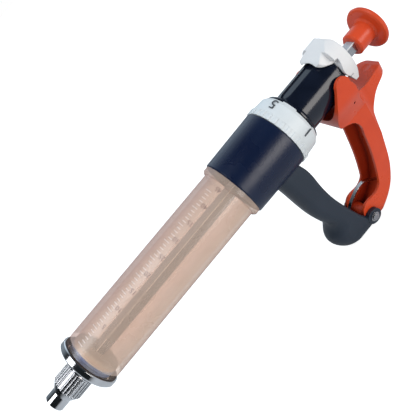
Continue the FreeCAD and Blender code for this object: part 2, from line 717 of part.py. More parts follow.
def lever():
    body = prism(lever_side(), -FORK_OUTER, FORK_OUTER)
    body = body.common(prism(lever_front(), PIVOT_X - 20, PIVOT_X + 70))
    body = body.common(prism(lever_plan(), PIVOT_Z - 20, 20))
    # The channel, open to the front, between the two walls and the back web
    inner = [(x - CHANNEL_WEB * 0.86, z + CHANNEL_WEB * 0.5) for x, z in lever_back()]
    roof = PIVOT_Z + CHANNEL_TOP
    channel = sheet(side_view, (PIVOT_X - 12, PIVOT_Z - 12), [
        line(inner[0][0] - 2.0, PIVOT_Z - 12), line(*inner[0]), curve(*inner[1:]),
        curve((inner[-1][0] - 0.8, roof - 3.4), (inner[-1][0] - 4.4, roof), (PIVOT_X + 24.6, roof - 2.2)),
        line(PIVOT_X - 12, roof - 2.2), line(PIVOT_X - 12, PIVOT_Z - 12),
    ])
    hollow = prism(channel, -FORK_OUTER, FORK_OUTER)
    body = body.cut(hollow.common(prism(lever_front(LEVER_WALL), PIVOT_X - 20, PIVOT_X + 70)))
    # The cradle round the carriage tube, deep enough for the lift of the fork over its swing
    cradle = rod_x(PIVOT_X, PIVOT_X + 80, FORK_INNER)
    low = rod_x(PIVOT_X, PIVOT_X + 80, FORK_INNER, 0, -FORK_LIFT)
    between = block(PIVOT_X, PIVOT_X + 80, -FORK_INNER, FORK_INNER, -FORK_LIFT, 0)
    above = block(PIVOT_X, PIVOT_X + 80, -FORK_INNER, FORK_INNER, 0, 20)
    body = body.cut([cradle, low, between, above])
    # Slots on the inner faces of the ears for the trunnion pins
    swing = lever_swing()
    drop = PIVOT_DROP - ((TRUNNION_X - PIVOT_X - FULL_STROKE) * -math.sin(swing) + PIVOT_DROP * math.cos(swing))
    depth = TUBE_R + TRUNNION_REACH + FACE_GAP
    slot_r = TRUNNION_R + SLIDE_GAP
    top = rod_y(TRUNNION_X, 0, slot_r, -depth, depth)
    bottom = rod_y(TRUNNION_X, -drop, slot_r, -depth, depth)
    middle = block(TRUNNION_X - slot_r, TRUNNION_X + slot_r, -depth, depth, -drop, 0)
    body = body.cut([top, bottom, middle])
    hub = rod_y(PIVOT_X, PIVOT_Z, HUB_BOSS_R, -LEVER_FOOT_HALF + LEVER_WALL / 2, LEVER_FOOT_HALF - LEVER_WALL / 2)
    body = body.fuse(hub)
    # A small blind hole in the outer face of each ear
    eye_x = PIVOT_X + EYE_BEHIND_PIVOT
    eye_z = PIVOT_Z + EYE_ABOVE_PIVOT
    near_eye = rod_y(eye_x, eye_z, EYE_R, -FORK_OUTER, -FORK_OUTER + EYE_REACH)
    far_eye = rod_y(eye_x, eye_z, EYE_R, FORK_OUTER - EYE_REACH, FORK_OUTER)
    return body.cut([near_eye, far_eye, rod_y(PIVOT_X, PIVOT_Z, PIVOT_R + PIN_GAP, -FORK_OUTER, FORK_OUTER)])


def grip_section(z, front, back, half, corner):
    rear = 2.2
    bend = 1 - math.sqrt(0.5)
    points = [
        ((front, -half + corner), None),
        ((front + corner, -half), (front + corner * bend, -half + corner * bend)),
        ((back - rear, -half), None),
        ((back, -half + rear), (back - rear * bend, -half + rear * bend)),
        ((back, half - rear), None),
        ((back - rear, half), (back - rear * bend, half - rear * bend)),
        ((front + corner, half), None),
        ((front, half - corner), (front + corner * bend, half - corner * bend)),
    ]
    edges = []
    last = vec(front, half - corner, z)
    for (x, y), middle in points:
        here = vec(x, y, z)
        if middle is None:
            edges.append(Part.makeLine(last, here))
        else:
            edges.append(Part.Arc(last, vec(middle[0], middle[1], z), here).toShape())
        last = here
    return Part.Wire(edges)


def grip():
    x = SLEEVE_END
    wide = GRIP_FOOT_HALF
    foot = wide - 0.3
    upper = 0.78
    toe = 0.97
    sections = [
        (-8.0, -17.4, -2.2, 8.0, upper), (-15.0, -17.0, -1.8, 8.0, upper), (-20.0, -16.4, -0.4, 8.0, upper),
        (-27.0, -15.4, 1.1, 8.0, upper), (-38.0, -14.2, 1.5, 8.0, upper), (-47.0, -13.2, 2.0, 8.2, upper),
        (-57.0, -11.6, 3.4, 8.6, upper), (-65.0, -9.4, 5.2, 9.2, 0.84), (-71.0, -8.0, 6.7, 9.8, 0.9),
        (-75.0, -9.4, 7.8, foot, toe), (-80.0, -12.3, 9.4, foot, toe), (-85.0, -13.2, 11.6, foot, toe),
        (-89.5, -11.6, 13.6, foot, toe), (-93.4, -8.0, 14.4, foot - 0.8, toe),
    ]
    wires = [grip_section(z, x + front, x + back, half, half * rounding)
             for z, front, back, half, rounding in sections]
    body = Part.makeLoft(wires, True, False)
    boss = rod_y(PIVOT_X, PIVOT_Z, CHEEK_BOSS_R, -wide, wide)
    body = body.fuse(boss)
    keep_off = turned([
        (SLEEVE_START - 20, 0), (SLEEVE_START - 20, SLEEVE_FRONT_R), (SLEEVE_START, SLEEVE_FRONT_R),
        (SLEEVE_END, SLEEVE_REAR_R), (SLEEVE_END + 20, SLEEVE_REAR_R + 2), (SLEEVE_END + 20, 0),
    ])
    slot_half = LEVER_FOOT_HALF + CHEEK_GAP
    slot = sheet(side_view, (PIVOT_X - 9.0, PIVOT_Z - 12), [
        line(PIVOT_X - 9.0, PIVOT_Z + 12.0), line(PIVOT_X - 12.0, PIVOT_Z + 16.0),
        line(PIVOT_X + 16.0, PIVOT_Z + 30.0), line(PIVOT_X + 16.0, PIVOT_Z - 12),
        line(PIVOT_X - 9.0, PIVOT_Z - 12),
    ])
    pin_hole = rod_y(PIVOT_X, PIVOT_Z, PIVOT_R, -wide - 1, wide + 1)
    screw_hole = Part.makeCylinder(GRIP_SCREW_R, GRIP_SCREW_LENGTH + 2, vec(grip_screw_x(), 0, grip_screw_end() - 1))
    leaf_hole = rod_x(PIVOT_X - 16.0, PIVOT_X - 8, LEAF_SCREW_R, 0, PIVOT_Z + 3.5)
    return body.cut([keep_off, prism(slot, -slot_half, slot_half), pin_hole, screw_hole, leaf_hole])


def grip_screw_end():
    return -CARRIAGE_BORE_R - GRIP_SCREW_HEAD - GRIP_SCREW_LENGTH


def grip_screw():
    top = -CARRIAGE_BORE_R - SEAT_GAP
    head = Part.makeCylinder(GRIP_SCREW_HEAD_R, GRIP_SCREW_HEAD, vec(grip_screw_x(), 0, top - GRIP_SCREW_HEAD))
    head = head.common(rod_x(SLEEVE_START, SLEEVE_END, SLEEVE_REAR_R))
    shank = Part.makeCylinder(GRIP_SCREW_R, GRIP_SCREW_LENGTH, vec(grip_screw_x(), 0, grip_screw_end()))
    head_cut = rod_x(SLEEVE_START, SLEEVE_END, CARRIAGE_BORE_R)
    return head.fuse(shank).cut(head_cut)


def leaf_spring():
    # A foot screwed to the grip and a narrow arched leaf that ends on the lever's web
    x = PIVOT_X
    z = PIVOT_Z
    t = LEAF_THICKNESS
    foot = block(x - 8.9, x - 8.9 + t, -LEAF_FOOT_HALF, LEAF_FOOT_HALF, z + 1.0, z + 6.2)
    face = sheet(side_view, (x - 8.9, z + 5.6), [
        curve((x - 7.8, z + 8.6), (x - 5.2, z + 11.6), (x - 1.0, z + 14.4), (x + 4.6, z + 16.8),
              (x + 10.2, z + 17.0), (x + 14.4, z + 14.8), (x + 17.4, z + 11.6), (x + 19.6, z + 9.6)),
        line(x + 19.6, z + 9.6 - t * 1.3),
        curve((x + 17.0, z + 11.2 - t), (x + 13.9, z + 14.3 - t), (x + 10.0, z + 17.0 - t),
              (x + 4.9, z + 16.8 - t), (x - 0.6, z + 14.4 - t), (x - 4.6, z + 11.4 - t),
              (x - 8.9 + t, z + 5.6)),
        line(x - 8.9, z + 5.6),
    ])
    hole = rod_x(x - 10, x - 7, LEAF_SCREW_R, 0, z + 3.5)
    return foot.fuse(prism(face, -LEAF_HALF, LEAF_HALF)).cut(hole)


def leaf_screw():
    x = PIVOT_X - 8.9 + LEAF_THICKNESS
    head = rod_x(x, x + 0.9, LEAF_SCREW_R * 1.8, 0, PIVOT_Z + 3.5)
    shank = rod_x(x - 7.0, x, LEAF_SCREW_R, 0, PIVOT_Z + 3.5)
    return head.fuse(shank)


def pivot_pin():
    shank = rod_y(PIVOT_X, PIVOT_Z, PIVOT_R, -GRIP_FOOT_HALF - WASHER, GRIP_FOOT_HALF + WASHER + 0.6)
    head = rod_y(PIVOT_X, PIVOT_Z, PIN_HEAD_R, -GRIP_FOOT_HALF - WASHER - PIN_HEAD, -GRIP_FOOT_HALF - WASHER)
    return shank.fuse(head)


def pivot_washers():
    near = rod_y(PIVOT_X, PIVOT_Z, WASHER_R, -GRIP_FOOT_HALF - WASHER, -GRIP_FOOT_HALF)
    far = rod_y(PIVOT_X, PIVOT_Z, WASHER_R, GRIP_FOOT_HALF, GRIP_FOOT_HALF + WASHER)
    hole = rod_y(PIVOT_X, PIVOT_Z, PIVOT_R, -GRIP_FOOT_HALF - 2, GRIP_FOOT_HALF + 2)
    return Part.makeCompound([near.cut(hole), far.cut(hole)])


def pivot_nut():
    start = GRIP_FOOT_HALF + WASHER
    corners = []
    for i in range(7):
        turn = math.pi / 3 * i
        corners.append(vec(PIVOT_X + NUT_R * math.cos(turn), start, PIVOT_Z + NUT_R * math.sin(turn)))
    body = Part.Face(Part.makePolygon(corners)).extrude(vec(0, 1.6, 0))
    return body.cut(rod_y(PIVOT_X, PIVOT_Z, PIVOT_R, start - 1, start + 3))


def catch_top():
    # The catch's back from the thumb pad's front edge to its rear face
    x = PLUG_END
    top = CATCH_TOP
    rear = x + CATCH_REAR
    return [
        curve((x - 6.9, 13.1), (x - 5.2, 14.3), (x - 2.0, 15.5), (x + 2.0, top - 1.0), (rear - 1.4, top - 0.4)),
        curve((rear - 0.5, top - 0.8), (rear - 0.1, top - 2.2)),
        line(rear, 5.0),
    ]


def catch_side():
    x = PLUG_END
    rear = x + CATCH_REAR
    return sheet(side_view, (x - 7.5, 11.6), [
        line(x - 7.4, 12.2), *catch_top(), line(rear, 1.2),
        curve((rear - 0.5, -2.6), (x + 5.8, -6.2)),
        line(x + 3.9, -6.2),
        curve((x + 2.4, -3.4), (x + 1.2, -0.6)),
        curve((x - 0.3, 1.8), (x - 0.6, 4.4), (x + 0.3, 7.4), (x + 1.0, 10.8)),
        line(x - 7.5, 11.6),
    ])


def lobe_side():
    x = PLUG_END
    return sheet(side_view, (x - 7.5, LOBE_FOOT_Z), [
        line(x - 7.4, 12.2), *catch_top(), line(x + CATCH_REAR, LOBE_FOOT_Z - 4),
        line(x - 7.5, LOBE_FOOT_Z),
    ])


def catch_front():
    r = CATCH_R
    top = CATCH_TOP
    half = [(r * 0.88, -7.0), (r, 0.0), (r * 0.99, 5.0), (r * 0.87, 10.2), (r * 0.72, 13.8), (r * 0.5, top - 1.6),
            (r * 0.24, top - 0.4)]
    near = [(-a, b) for a, b in reversed(half)]
    return sheet(front_view, half[0], [
        curve(*half[1:]), curve((0, top), near[0]), curve(*near[1:]), line(*half[0]),
    ])


def lobe_plan():
    # The thumb pad's lobe over the tube, down to its waist at the arms
    x = PLUG_END
    return sheet(plan_view, (x - 7.6, 0), [
        curve((x - 7.4, -3.6), (x - 6.6, -6.4), (x - 3.6, -8.4), (x + 0.2, -9.5)),
        line(x + 3, -9.8), line(x + 3, 9.8), line(x + 0.2, 9.5),
        curve((x - 3.6, 8.4), (x - 6.6, 6.4), (x - 7.4, 3.6), (x - 7.6, 0)),
    ])


def lobe_front():
    # The lobe's sloping side facets
    return sheet(front_view, (10.4, 6.6), [
        line(6.9, 14.0), curve((5.9, 15.4), (4.0, 16.5)), line(-4.0, 16.5), curve((-5.9, 15.4), (-6.9, 14.0)),
        line(-10.4, 6.6), line(10.4, 6.6),
    ])


def release_catch():
    arms = prism(catch_side(), -CATCH_R, CATCH_R).common(prism(catch_front(), PLUG_END - 0.8, PLUG_END + 20))
    lobe = prism(lobe_side(), -CATCH_R, CATCH_R).common(prism(lobe_front(), PLUG_END - 20, PLUG_END + 3))
    body = arms.fuse(lobe.common(prism(lobe_plan(), 0, 24)))
    rear = PLUG_END + CATCH_REAR
    wall = CATCH_BACK_WALL
    hollow = rod_x(PLUG_END - 1, rear - wall, TUBE_R - 1.1)
    # Room for the tube's end over the whole press of the catch
    room = []
    for i in range(4):
        tube = rod_x(PLUG_END - 30, PLUG_END, TUBE_R + FACE_GAP)
        tube.rotate(vec(CATCH_PIN_X, 0, CATCH_PIN_Z), vec(0, 1, 0), CATCH_SWING * i / 3)
        room.append(tube)
    window = block(rear - wall - 1, rear + 1, -FINGER_INNER, FINGER_INNER, -ROD_HALF - 0.8, ROD_HALF + 0.6)
    lug_side = LUG_INNER + LUG_WIDTH + CATCH_GAP
    lug_room = block(PLUG_END - 1, rear - wall, -lug_side, lug_side, 0, CATCH_PIN_Z + LUG_HEIGHT / 2 + 0.9)
    below = block(PLUG_END - 1, rear - wall, -TUBE_R + 1.5, TUBE_R - 1.5, -12, 0)
    # A slit parts the lower tips of the arms from their front edges
    slit = block(PLUG_END - 1, PLUG_END + 3.2, -CATCH_R - 1, CATCH_R + 1, -1.3, -0.9)
    pin_end = CATCH_R * CATCH_PIN_SPAN + SLIDE_GAP
    pin_hole = rod_y(CATCH_PIN_X, CATCH_PIN_Z, CATCH_PIN_R + PIN_GAP, -pin_end, pin_end)
    body = body.cut([hollow, window, lug_room, below, slit, pin_hole] + room)
    # Two fingers pass the rod on either side and press the pawl's ears down near the end of the swing
    near = block(PLUG_END - FINGER_REACH, rear - wall / 2, -FINGER_OUTER, -FINGER_INNER, FINGER_BOTTOM, FINGER_TOP)
    far = block(PLUG_END - FINGER_REACH, rear - wall / 2, FINGER_INNER, FINGER_OUTER, FINGER_BOTTOM, FINGER_TOP)
    return body.fuse([near, far])


PIECES = {
    "luer_hub": luer_hub,
    "front_cap": front_cap,
    "cap_gasket": cap_gasket,
    "barrel": barrel,
    "sleeve_housing": sleeve_housing,
    "guide_bush": guide_bush,
    "brake_ring": brake_ring,
    "detent_ball": detent_ball,
    "detent_spring": detent_spring,
    "dose_ring": dose_ring,
    "ring_bezel": ring_bezel,
    "carriage_tube": carriage_tube,
    "carriage_key": carriage_key,
    "trunnion_pins": trunnion_pins,
    "end_plug": end_plug,
    "catch_pin": catch_pin,
    "pawl_pin": pawl_pin,
    "drive_pawl": drive_pawl,
    "pawl_spring": pawl_spring,
    "plunger_rod": plunger_rod,
    "piston_front": piston_front,
    "piston_seal": piston_seal,
    "piston_rear": piston_rear,
    "piston_screw": piston_screw,
    "knob": knob,
    "knob_pin": knob_pin,
    "lever": lever,
    "grip": grip,
    "grip_screw": grip_screw,
    "leaf_spring": leaf_spring,
    "leaf_screw": leaf_screw,
    "pivot_pin": pivot_pin,
    "pivot_washers": pivot_washers,
    "pivot_nut": pivot_nut,
    "release_catch": release_catch,
}

os.makedirs("parts", exist_ok=True)
for name, make in PIECES.items():
    shape = make()
    shape.exportStep("parts/" + name + ".step")
    solids = shape.Solids
    print(name, len(solids), "solids", round(sum(s.Volume for s in solids), 1), "mm3", shape.isValid())
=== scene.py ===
import math

import bmesh
import bpy
from mathutils import Matrix, Vector


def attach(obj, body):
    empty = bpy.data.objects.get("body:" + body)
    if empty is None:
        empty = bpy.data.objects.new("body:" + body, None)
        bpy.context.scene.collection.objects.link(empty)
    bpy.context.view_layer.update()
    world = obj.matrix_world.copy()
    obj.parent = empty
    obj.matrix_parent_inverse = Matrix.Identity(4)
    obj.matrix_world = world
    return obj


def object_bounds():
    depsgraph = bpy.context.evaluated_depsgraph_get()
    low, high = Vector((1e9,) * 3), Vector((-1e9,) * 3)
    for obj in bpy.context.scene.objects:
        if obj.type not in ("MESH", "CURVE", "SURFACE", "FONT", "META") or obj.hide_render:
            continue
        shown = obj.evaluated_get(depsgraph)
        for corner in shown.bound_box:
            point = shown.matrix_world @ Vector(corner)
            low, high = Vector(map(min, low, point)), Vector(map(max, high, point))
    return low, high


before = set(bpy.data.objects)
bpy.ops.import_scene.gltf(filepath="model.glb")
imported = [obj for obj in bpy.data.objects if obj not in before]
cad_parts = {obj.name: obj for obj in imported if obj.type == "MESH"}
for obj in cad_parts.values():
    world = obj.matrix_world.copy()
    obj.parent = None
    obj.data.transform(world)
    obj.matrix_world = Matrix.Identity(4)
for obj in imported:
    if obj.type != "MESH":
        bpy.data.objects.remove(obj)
solid_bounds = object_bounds()


# Needle hub
# One brass turning with chrome plate: a lock collar for the needle, a cone and a knurled band that the
# fingers turn. Its spigot screws into the front cap.

MM = 0.001


def put(tree, kind, inputs=None, **settings):
    # One node, with its settings, and its inputs linked or set
    made = tree.nodes.new(kind)
    for key, value in settings.items():
        setattr(made, key, value)
    for key, value in (inputs or {}).items():
        if isinstance(value, bpy.types.NodeSocket):
            tree.links.new(value, made.inputs[key])
        else:
            made.inputs[key].default_value = value
    return made


def calc(tree, operation, *values):
    # The result of one sum on numbers or sockets
    return put(tree, "ShaderNodeMath", dict(enumerate(values)), operation=operation).outputs[0]


def ramp(tree, value, low, high, start=0.0, end=1.0, soft=False):
    # A value carried from the span low to high onto start to end, straight or with soft ends
    spans = {"Value": value, "From Min": low, "From Max": high, "To Min": start, "To Max": end}
    bend = "SMOOTHSTEP" if soft else "LINEAR"
    return put(tree, "ShaderNodeMapRange", spans, interpolation_type=bend).outputs["Result"]


def mixed(tree, share, first, second):
    # The colour between two, each a plain colour or a socket
    pair = {}
    for key, color in (("A", first), ("B", second)):
        pair[key] = color if isinstance(color, bpy.types.NodeSocket) else (*color, 1)
    return put(tree, "ShaderNodeMix", {"Factor": share, **pair}, data_type="RGBA").outputs["Result"]


def split_place(tree):
    # The piece's own X, Y and Z as three sockets
    place = put(tree, "ShaderNodeTexCoord")
    return put(tree, "ShaderNodeSeparateXYZ", {"Vector": place.outputs["Object"]}).outputs


def open_group(name, kind, inputs, outputs):
    tree = bpy.data.node_groups.new(name, kind)
    for label, socket, value in inputs:
        made = tree.interface.new_socket(name=label, in_out="INPUT", socket_type=socket)
        if value is not None:
            made.default_value = value
    for label, socket in outputs:
        tree.interface.new_socket(name=label, in_out="OUTPUT", socket_type=socket)
    return tree, tree.nodes.new("NodeGroupInput"), tree.nodes.new("NodeGroupOutput")


def rounded_edges():
    # Worn, rounded edges: their normal, and a mask that is 1 on them, used for wear and a painted edge
    # highlight
    tree, take, give = open_group(
        "rounded_edges", "ShaderNodeTree", [("Radius", "NodeSocketFloat", 0.0003)],
        [("Normal", "NodeSocketVector"), ("Edge", "NodeSocketFloat")])
    bevel = put(tree, "ShaderNodeBevel", {"Radius": take.outputs["Radius"]}, samples=4)
    plain = put(tree, "ShaderNodeNewGeometry")
    across = put(tree, "ShaderNodeVectorMath", {0: bevel.outputs["Normal"], 1: plain.outputs["Normal"]},
                 operation="DOT_PRODUCT")
    tree.links.new(bevel.outputs["Normal"], give.inputs["Normal"])
    tree.links.new(ramp(tree, across.outputs["Value"], 0.995, 0.8), give.inputs["Edge"])
    return tree


def moulded_grain():
    # The fine spark-eroded grain of a moulded part, laid on a normal
    tree, take, give = open_group(
        "moulded_grain", "ShaderNodeTree",
        [("Size", "NodeSocketFloat", 0.0003), ("Depth", "NodeSocketFloat", 0.3),
         ("Normal", "NodeSocketVector", None)],
        [("Normal", "NodeSocketVector"), ("Grain", "NodeSocketFloat")])
    place = put(tree, "ShaderNodeTexCoord")
    scale = calc(tree, "DIVIDE", 1.0, take.outputs["Size"])
    noise = put(tree, "ShaderNodeTexNoise", {"Vector": place.outputs["Object"], "Scale": scale,
                                             "Detail": 2.0, "Roughness": 0.6})
    bump = put(tree, "ShaderNodeBump", {"Strength": take.outputs["Depth"], "Distance": 0.0001,
                                        "Height": noise.outputs["Fac"], "Normal": take.outputs["Normal"]})
    tree.links.new(bump.outputs["Normal"], give.inputs["Normal"])
    tree.links.new(noise.outputs["Fac"], give.inputs["Grain"])
    return tree


def handling_marks():
    # Where fingers and wiping left a soft uneven film, and short scratches along the tool
    tree, take, give = open_group(
        "handling_marks", "ShaderNodeTree",
        [("Size", "NodeSocketFloat", 0.01), ("Scratch", "NodeSocketFloat", 0.5)],
        [("Film", "NodeSocketFloat"), ("Scratches", "NodeSocketFloat")])
    place = put(tree, "ShaderNodeTexCoord")
    scale = calc(tree, "DIVIDE", 1.0, take.outputs["Size"])
    film = put(tree, "ShaderNodeTexNoise", {"Vector": place.outputs["Object"], "Scale": scale,
                                            "Detail": 4.0, "Roughness": 0.55, "Distortion": 0.4})
    turn = put(tree, "ShaderNodeMapping", {"Vector": place.outputs["Object"], "Rotation": (0.4, 0.3, 0.2),
                                           "Scale": (90.0, 2600.0, 2600.0)})
    lines = put(tree, "ShaderNodeTexNoise", {"Vector": turn.outputs["Vector"], "Scale": 1.0, "Detail": 1.0})
    thin = ramp(tree, lines.outputs["Fac"], 0.68, 0.74)
    tree.links.new(ramp(tree, film.outputs["Fac"], 0.3, 0.7), give.inputs["Film"])
    tree.links.new(calc(tree, "MULTIPLY", thin, take.outputs["Scratch"]), give.inputs["Scratches"])
    return tree


def turning_marks():
    # Fine rings round the barrel axis, left by the lathe
    tree, take, give = open_group(
        "turning_marks", "ShaderNodeTree",
        [("Pitch", "NodeSocketFloat", 0.0002), ("Depth", "NodeSocketFloat", 0.2),
         ("Normal", "NodeSocketVector", None)],
        [("Normal", "NodeSocketVector"), ("Rings", "NodeSocketFloat")])
    count = calc(tree, "DIVIDE", split_place(tree)["X"], take.outputs["Pitch"])
    rings = put(tree, "ShaderNodeTexNoise", {"W": count, "Scale": 1.0, "Detail": 2.0},
                noise_dimensions="1D")
    bump = put(tree, "ShaderNodeBump", {"Strength": take.outputs["Depth"], "Distance": 0.00005,
                                        "Height": rings.outputs["Fac"], "Normal": take.outputs["Normal"]})
    tree.links.new(bump.outputs["Normal"], give.inputs["Normal"])
    tree.links.new(rings.outputs["Fac"], give.inputs["Rings"])
    return tree


EFFECTS = {made.name: made for made in (rounded_edges(), moulded_grain(), handling_marks(), turning_marks())}
FILM_DARKENS = 0.92
SCRATCH_ROUGHENS = 0.15


def finish(name, color, rough, film_color=None, film_size=0.012, edge_wear_highlight_color=None, edge=0.25, grain=None,
           rings=None, scratch=0.3, rough_spread=0.08, **sockets):
    # A finish from its colour, its soft edges with a lighter colour on them (wear and a painted highlight),
    # the film on it, and moulded grain or turning marks under it
    mat = bpy.data.materials.new(name)
    mat.use_nodes = True
    tree = mat.node_tree
    bsdf = tree.nodes["Principled BSDF"]
    edges = put(tree, "ShaderNodeGroup", {"Radius": edge * MM}, node_tree=EFFECTS["rounded_edges"])
    marks = put(tree, "ShaderNodeGroup", {"Size": film_size, "Scratch": scratch},
                node_tree=EFFECTS["handling_marks"])
    normal = edges.outputs["Normal"]
    if grain:
        skin = put(tree, "ShaderNodeGroup", {"Size": grain[0] * MM, "Depth": grain[1], "Normal": normal},
                   node_tree=EFFECTS["moulded_grain"])
        normal = skin.outputs["Normal"]
    if rings:
        lathe = put(tree, "ShaderNodeGroup", {"Pitch": rings[0] * MM, "Depth": rings[1], "Normal": normal},
                    node_tree=EFFECTS["turning_marks"])
        normal = lathe.outputs["Normal"]
    film_color = film_color or [c * FILM_DARKENS for c in color]
    filmed = mixed(tree, marks.outputs["Film"], color, film_color)
    # Edges take a lighter colour: partly rubbed wear, partly a painted highlight
    worn_and_highlit = mixed(tree, edges.outputs["Edge"], filmed, edge_wear_highlight_color or color)
    rough_film = ramp(tree, marks.outputs["Film"], 0.0, 1.0, rough, rough + rough_spread)
    rough_all = calc(tree, "MULTIPLY_ADD", marks.outputs["Scratches"], SCRATCH_ROUGHENS, rough_film)
    tree.links.new(worn_and_highlit, bsdf.inputs["Base Color"])
    tree.links.new(rough_all, bsdf.inputs["Roughness"])
    tree.links.new(normal, bsdf.inputs["Normal"])
    for socket, value in sockets.items():
        bsdf.inputs[socket.replace("_", " ")].default_value = value
    return mat


def dress(mat, *nodes):
    # The same finish on each of these solids
    for node in nodes:
        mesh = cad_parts[node].data
        mesh.materials.clear()
        mesh.materials.append(mat)


chrome = finish("chrome_plate", (0.68, 0.68, 0.70), 0.07, film_color=(0.6, 0.59, 0.6), film_size=0.006,
                edge_wear_highlight_color=(0.8, 0.8, 0.8), edge=0.2, rings=(0.25, 0.12), Metallic=1.0)
dress(chrome, "luer_hub")


# Front cap and gasket
# A chromed brass cap screwed over the front of the barrel. A rubber ring inside it seals the tube, and
# its squeezed bead shows as a thin dark line behind the chrome.

BARREL_R = 15.0
CAP_END = 27.0
BEAD_OUT = 0.22
BEAD_FLAT = 0.25
BEAD_LENGTH = 0.42
BEAD_SUNK = 0.01
SHARP_ANGLE = 35.0

rubber = finish("gasket_rubber", (0.028, 0.016, 0.013), 0.5, film_color=(0.045, 0.03, 0.025),
                grain=(0.2, 0.2))
dress(chrome, "front_cap")
dress(rubber, "cap_gasket")


def turned_ring(name, profile, steps=96):
    # A closed ring turned about the barrel axis from (x, radius) points in millimetres
    shape = bmesh.new()
    rounds = []
    for i in range(steps):
        turn = 2 * math.pi * i / steps
        aside, up = math.cos(turn) * MM, math.sin(turn) * MM
        rounds.append([shape.verts.new((x * MM, r * aside, r * up)) for x, r in profile])
    for i in range(steps):
        here, after = rounds[i], rounds[(i + 1) % steps]
        for j in range(len(profile)):
            k = (j + 1) % len(profile)
            shape.faces.new((here[j], here[k], after[k], after[j]))
    mesh = bpy.data.meshes.new(name)
    shape.to_mesh(mesh)
    shape.free()
    return mesh


def fix_on(name, mesh, body, mat=None):
    # A finished mesh as a piece of its body, with its normals outwards
    shape = bmesh.new()
    shape.from_mesh(mesh)
    bmesh.ops.remove_doubles(shape, verts=shape.verts, dist=1e-7)
    bmesh.ops.recalc_face_normals(shape, faces=shape.faces)
    shape.to_mesh(mesh)
    shape.free()
    if mat:
        mesh.materials.clear()
        mesh.materials.append(mat)
    mesh.shade_smooth()
    mesh.set_sharp_from_angle(angle=math.radians(SHARP_ANGLE))
    obj = bpy.data.objects.new(name, mesh)
    bpy.context.scene.collection.objects.link(obj)
    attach(obj, body)
    return obj


bead = [(CAP_END, BARREL_R - BEAD_SUNK), (CAP_END, BARREL_R + BEAD_OUT),
        (CAP_END + BEAD_FLAT, BARREL_R + BEAD_OUT), (CAP_END + BEAD_LENGTH, BARREL_R - BEAD_SUNK)]
fix_on("gasket_bead", turned_ring("gasket_bead", bead), "housing", rubber)


# Barrel
# A translucent amber tube with a moulded scale of one millilitre lines, a longer line at each fifth with
# its number, and a collar that stops against the sleeve.

BORE_SPLIT = 13.6
TICK_PITCH = 2.037
SCALE_START = 33.4
SCALE_LINES = 46
TICK_ANGLE = 64.0
TICK_SUNK = 0.02
FIGURE_ANGLE = 57.0
FIGURE_HEIGHT = 2.4
FIGURE_BEHIND = 3.0
FIGURE_SHARE = 0.72
STRIP_WIDTH = 0.45


def scale_lines():
    # Raised lines along X, every fifth one long, bent round the barrel from a starting angle
    lengths = [("Pitch", 0.002), ("Start", 0.0), ("Width", 0.0005), ("Short", 0.003), ("Long", 0.005),
               ("Height", 0.0002), ("Radius", 0.015), ("Angle", 1.1)]
    tree, take, give = open_group(
        "scale_lines", "GeometryNodeTree",
        [("Lines", "NodeSocketInt", 46), *[(label, "NodeSocketFloat", value) for label, value in lengths],
         ("Material", "NodeSocketMaterial", None)],
        [("Geometry", "NodeSocketGeometry")])
    first = put(tree, "ShaderNodeCombineXYZ", {"X": take.outputs["Start"]})
    step = put(tree, "ShaderNodeCombineXYZ", {"X": take.outputs["Pitch"]})
    line = put(tree, "GeometryNodeMeshLine", {"Count": take.outputs["Lines"],
                                              "Start Location": first.outputs[0],
                                              "Offset": step.outputs[0]})
    index = put(tree, "GeometryNodeInputIndex")
    fifth = calc(tree, "MODULO", index.outputs[0], 5.0)
    is_long = put(tree, "FunctionNodeCompare", {"A": fifth, "B": 0.5}, data_type="FLOAT",
                  operation="LESS_THAN")
    length = put(tree, "GeometryNodeSwitch", {"Switch": is_long.outputs[0], "False": take.outputs["Short"],
                                              "True": take.outputs["Long"]}, input_type="FLOAT")
    size = put(tree, "ShaderNodeCombineXYZ", {"X": take.outputs["Width"], "Y": length.outputs[0],
                                              "Z": take.outputs["Height"]})
    bar = put(tree, "GeometryNodeMeshCube", {"Size": (1.0, 1.0, 1.0), "Vertices X": 2, "Vertices Y": 7,
                                             "Vertices Z": 2})
    back = put(tree, "GeometryNodeTransform", {"Geometry": bar.outputs["Mesh"],
                                               "Translation": (0.0, 0.5, 0.5)})
    place = put(tree, "GeometryNodeInstanceOnPoints", {"Points": line.outputs["Mesh"],
                                                       "Instance": back.outputs["Geometry"],
                                                       "Scale": size.outputs[0]})
    real = put(tree, "GeometryNodeRealizeInstances", {"Geometry": place.outputs["Instances"]})
    here = put(tree, "GeometryNodeInputPosition")
    parts = put(tree, "ShaderNodeSeparateXYZ", {"Vector": here.outputs[0]}).outputs
    turn = calc(tree, "DIVIDE", parts["Y"], take.outputs["Radius"])
    angle = calc(tree, "ADD", turn, take.outputs["Angle"])
    radius = calc(tree, "ADD", parts["Z"], take.outputs["Radius"])
    front = calc(tree, "MULTIPLY", radius, -1.0)
    y = calc(tree, "MULTIPLY", front, calc(tree, "COSINE", angle))
    z = calc(tree, "MULTIPLY", radius, calc(tree, "SINE", angle))
    bent = put(tree, "ShaderNodeCombineXYZ", {"X": parts["X"], "Y": y, "Z": z})
    wrap = put(tree, "GeometryNodeSetPosition", {"Geometry": real.outputs["Geometry"],
                                                 "Position": bent.outputs[0]})
    dressed = put(tree, "GeometryNodeSetMaterial", {"Geometry": wrap.outputs["Geometry"],
                                                    "Material": take.outputs["Material"]})
    tree.links.new(dressed.outputs["Geometry"], give.inputs["Geometry"])
    return tree


